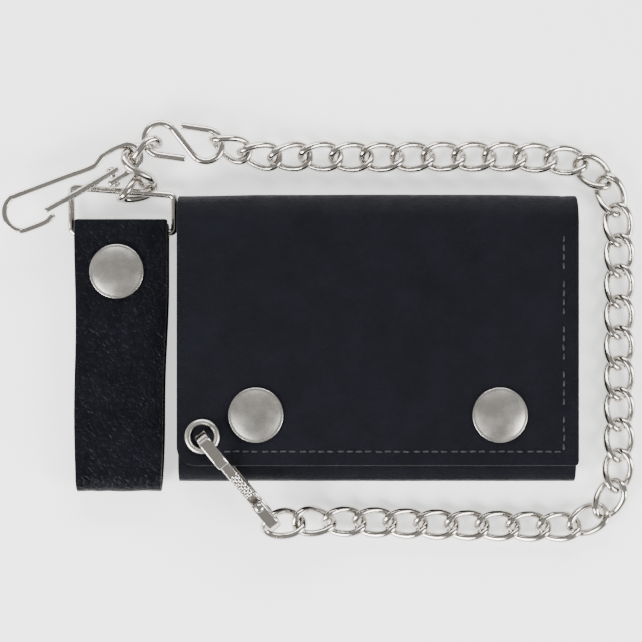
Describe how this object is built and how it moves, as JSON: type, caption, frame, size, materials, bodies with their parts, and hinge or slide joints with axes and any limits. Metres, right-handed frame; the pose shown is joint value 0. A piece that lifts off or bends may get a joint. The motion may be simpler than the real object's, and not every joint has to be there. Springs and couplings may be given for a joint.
{
  "type": "chain wallet",
  "caption": "Black leather trifold wallet with two snaps and an eyelet, on a nickel curb chain with a snap hook and a leather belt loop that snaps shut.",
  "frame": {"origin": "the middle of the wallet's back face", "axes": "+X along the wallet's width, towards the chain's outer run; +Y towards the top fold; +Z out of the front flap"},
  "size_m": [0.1743, 0.1168, 0.0219],
  "materials": {
    "wallet_leather": "satin",
    "strap_leather": "satin",
    "lining": "matte",
    "window": "gloss",
    "satin_nickel": "satin",
    "bright_nickel": "gloss"
  },
  "bodies": {
    "wallet_back": {"back_cover": "wallet_leather", "back_lining": "lining", "back_pocket_upper": "lining", "back_pocket_lower": "lining", "tuck_pocket": "lining", "id_window": "window", "snap_studs": "satin_nickel", "stud_rivets": "satin_nickel", "top_fold": "wallet_leather"},
    "flap": {"flap_cover": "wallet_leather", "flap_lining": "lining", "flap_pocket": "lining", "snap_cap_left": "satin_nickel", "snap_cap_right": "satin_nickel", "snap_socket_left": "satin_nickel", "snap_socket_right": "satin_nickel", "eyelet": "satin_nickel", "eyelet_washer": "satin_nickel"},
    "wallet_clip": {"wallet_clip_frame": "bright_nickel", "wallet_clip_rivet": "bright_nickel", "link_01": "bright_nickel", "link_02": "bright_nickel", "link_03": "bright_nickel"},
    "wallet_clip_gate": {"wallet_clip_gate": "bright_nickel"},
    "chain_link_4": {"link_04": "bright_nickel"},
    "chain_link_5": {"link_05": "bright_nickel"},
    "chain_links_6_8": {"links_06_08": "bright_nickel"},
    "chain_right_run": {"links_09_10": "bright_nickel", "link_11": "bright_nickel", "link_12": "bright_nickel", "link_13": "bright_nickel", "links_14_15": "bright_nickel", "links_16_17": "bright_nickel", "links_18_19": "bright_nickel", "links_20_21": "bright_nickel"},
    "chain_link_22": {"link_22": "bright_nickel"},
    "chain_link_23": {"link_23": "bright_nickel"},
    "chain_top_run": {"link_24": "bright_nickel", "links_25_26": "bright_nickel", "links_27_28": "bright_nickel", "links_29_30": "bright_nickel", "links_31_32": "bright_nickel", "links_33_34": "bright_nickel", "link_35": "bright_nickel"},
    "s_hook": {"s_hook": "bright_nickel"},
    "joining_link": {"joining_link": "bright_nickel"},
    "belt_clip": {"belt_clip_frame": "bright_nickel", "belt_clip_rivet": "bright_nickel"},
    "belt_clip_gate": {"belt_clip_gate": "bright_nickel"},
    "middle_link": {"middle_link": "bright_nickel"},
    "ring_link": {"ring_link": "bright_nickel"},
    "wire_ring": {"wire_ring": "bright_nickel"},
    "strap_back": {"strap_back": "strap_leather", "strap_stud": "satin_nickel", "strap_fold": "strap_leather"},
    "strap_front": {"strap_front": "strap_leather", "strap_cap": "satin_nickel", "strap_socket": "satin_nickel"}
  },
  "joints": [
    {"name": "flap_open", "type": "hinge", "parent": "wallet_back", "child": "flap", "pos_m": [0, 0.0392, 0.0071], "axis": [-1, 0, 0], "range_deg": [0, 90], "deforming": ["top_fold"]},
    {"name": "wallet_clip_swing", "type": "hinge", "parent": "flap", "child": "wallet_clip", "pos_m": [-0.0475, -0.0263, 0.0137], "axis": [0, 0, 1], "range_deg": [0, 5]},
    {"name": "wallet_clip_gate_press", "type": "hinge", "parent": "wallet_clip", "child": "wallet_clip_gate", "pos_m": [-0.03224, -0.04535, 0.01285], "axis": [-0.7804, -0.6252, 0], "range_deg": [0, 1.5]},
    {"name": "chain_twist_1", "type": "hinge", "parent": "wallet_clip", "child": "chain_link_4", "pos_m": [-0.00476, -0.0506, 0.00219], "axis": [1, 0, 0], "range_deg": [0, 30]},
    {"name": "chain_twist_2", "type": "hinge", "parent": "chain_link_4", "child": "chain_link_5", "pos_m": [0.00373, -0.0509, 0.00219], "axis": [1, 0, 0], "range_deg": [0, 30]},
    {"name": "chain_twist_3", "type": "hinge", "parent": "chain_link_5", "child": "chain_links_6_8", "pos_m": [0.01223, -0.0512, 0.00219], "axis": [1, 0, 0], "range_deg": [0, 30]},
    {"name": "chain_twist_4", "type": "hinge", "parent": "chain_links_6_8", "child": "chain_right_run", "pos_m": [0.03772, -0.05179, 0.00219], "axis": [1, 0, 0], "range_deg": [0, 30]},
    {"name": "chain_unwrap", "type": "hinge", "parent": "chain_right_run", "child": "chain_link_22", "pos_m": [0.06654, 0.03574, 0.00219], "axis": [0, 0, -1], "range_deg": [0, 18]},
    {"name": "chain_unwrap_2", "type": "hinge", "parent": "chain_link_22", "child": "chain_link_23", "pos_m": [0.06336, 0.04362, 0.00219], "axis": [0, 0, -1], "range_deg": [0, 30]},
    {"name": "chain_unwrap_3", "type": "hinge", "parent": "chain_link_23", "child": "chain_top_run", "pos_m": [0.05666, 0.04885, 0.00219], "axis": [0, 0, -1], "range_deg": [0, 30]},
    {"name": "s_hook_swing", "type": "hinge", "parent": "chain_top_run", "child": "s_hook", "pos_m": [-0.04442, 0.05453, 0.00464], "axis": [0, 0, -1], "range_deg": [0, 30]},
    {"name": "joining_link_swing", "type": "hinge", "parent": "s_hook", "child": "joining_link", "pos_m": [-0.0634, 0.053, 0.0056], "axis": [0, 0, -1], "range_deg": [0, 10]},
    {"name": "belt_clip_swing", "type": "hinge", "parent": "joining_link", "child": "belt_clip", "pos_m": [-0.069, 0.05, 0.005], "axis": [0, 0, -1], "range_deg": [-5, 24]},
    {"name": "belt_clip_gate_press", "type": "hinge", "parent": "belt_clip", "child": "belt_clip_gate", "pos_m": [-0.07299, 0.04571, 0.00585], "axis": [-0.1128, -0.046, -0.9925], "range_deg": [0, 10]},
    {"name": "middle_link_swing", "type": "hinge", "parent": "joining_link", "child": "middle_link", "pos_m": [-0.0656, 0.0493, 0.005], "axis": [0, 0, -1], "range_deg": [0, 3]},
    {"name": "ring_link_swing", "type": "hinge", "parent": "middle_link", "child": "ring_link", "pos_m": [-0.0662, 0.0438, 0.0042], "axis": [0, 0, -1], "range_deg": [0, 6]},
    {"name": "wire_ring_swing", "type": "hinge", "parent": "ring_link", "child": "wire_ring", "pos_m": [-0.0666, 0.0411, 0.0032], "axis": [0, 0, -1], "range_deg": [0, 8]},
    {"name": "strap_swing", "type": "hinge", "parent": "wire_ring", "child": "strap_back", "pos_m": [-0.0701, 0.0293, 0.0026], "axis": [-1, 0, 0], "range_deg": [0, 90]},
    {"name": "strap_front_open", "type": "hinge", "parent": "strap_back", "child": "strap_front", "pos_m": [-0.0701, -0.0427, 0.00425], "axis": [1, 0, 0], "range_deg": [0, 150], "deforming": ["strap_fold"]}
  ]
}
